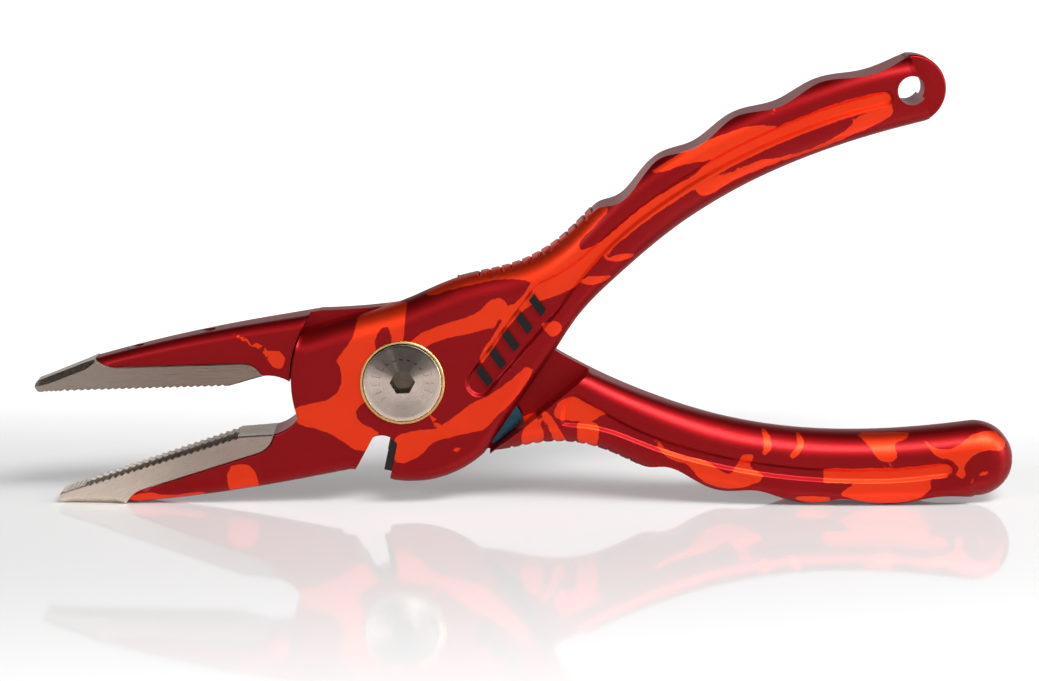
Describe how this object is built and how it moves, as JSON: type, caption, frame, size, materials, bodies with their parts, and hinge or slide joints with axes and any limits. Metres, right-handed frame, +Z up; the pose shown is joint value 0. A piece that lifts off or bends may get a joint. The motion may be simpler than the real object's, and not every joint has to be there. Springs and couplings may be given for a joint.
{
  "type": "fishing pliers",
  "caption": "Long-nose fishing pliers with lapped aluminium levers, steel jaw inserts, side line cutters, a bushed pivot and a lanyard hole; the levers turn about the pivot.",
  "frame": {"origin": "middle of the underside of the bounding box, as the pliers stand on the edge of the lower jaw and the lower handle, at the open stop", "axes": "+X from the jaws towards the handles, +Y from the front face to the rear face along the pivot, +Z up"},
  "size_m": [0.2298, 0.0164, 0.1062],
  "materials": {
    "camo_anodised": "satin red and dark red camouflage anodising",
    "brushed_steel": "brushed",
    "turned_steel": "fine turned",
    "brass": "turned",
    "carbide": "ground, dark",
    "black_chrome": "polished",
    "dark_fasteners": "black oxide",
    "blued_spring_steel": "blued, satin"
  },
  "bodies": {
    "rear_side": {"rear_lever": "camo_anodised", "upper_jaw_insert": "brushed_steel", "upper_insert_screws": "dark_fasteners", "rear_cutter": "carbide", "rear_cutter_screw": "dark_fasteners", "rear_collar": "brass", "rear_spring_pin": "dark_fasteners", "rear_badge": "black_chrome", "pivot_bolt": "turned_steel", "pivot_nut": "turned_steel", "thrust_washer": "brass", "stop_pin": "dark_fasteners", "return_spring": "blued_spring_steel"},
    "front_side": {"front_lever": "camo_anodised", "lower_jaw_insert": "brushed_steel", "lower_insert_screws": "dark_fasteners", "front_cutter": "carbide", "front_cutter_screw": "dark_fasteners", "front_collar": "brass", "front_spring_pin": "dark_fasteners", "front_badge": "black_chrome"}
  },
  "joints": [
    {"name": "lever_pivot", "type": "hinge", "parent": "rear_side", "child": "front_side", "pos_m": [-0.02865, 0, 0.03004], "axis": [0, 1, 0], "range_deg": [0, 16.4], "stiffness_Nm_per_rad": 1, "springref_deg": -22.92, "deforming": ["return_spring"]}
  ]
}
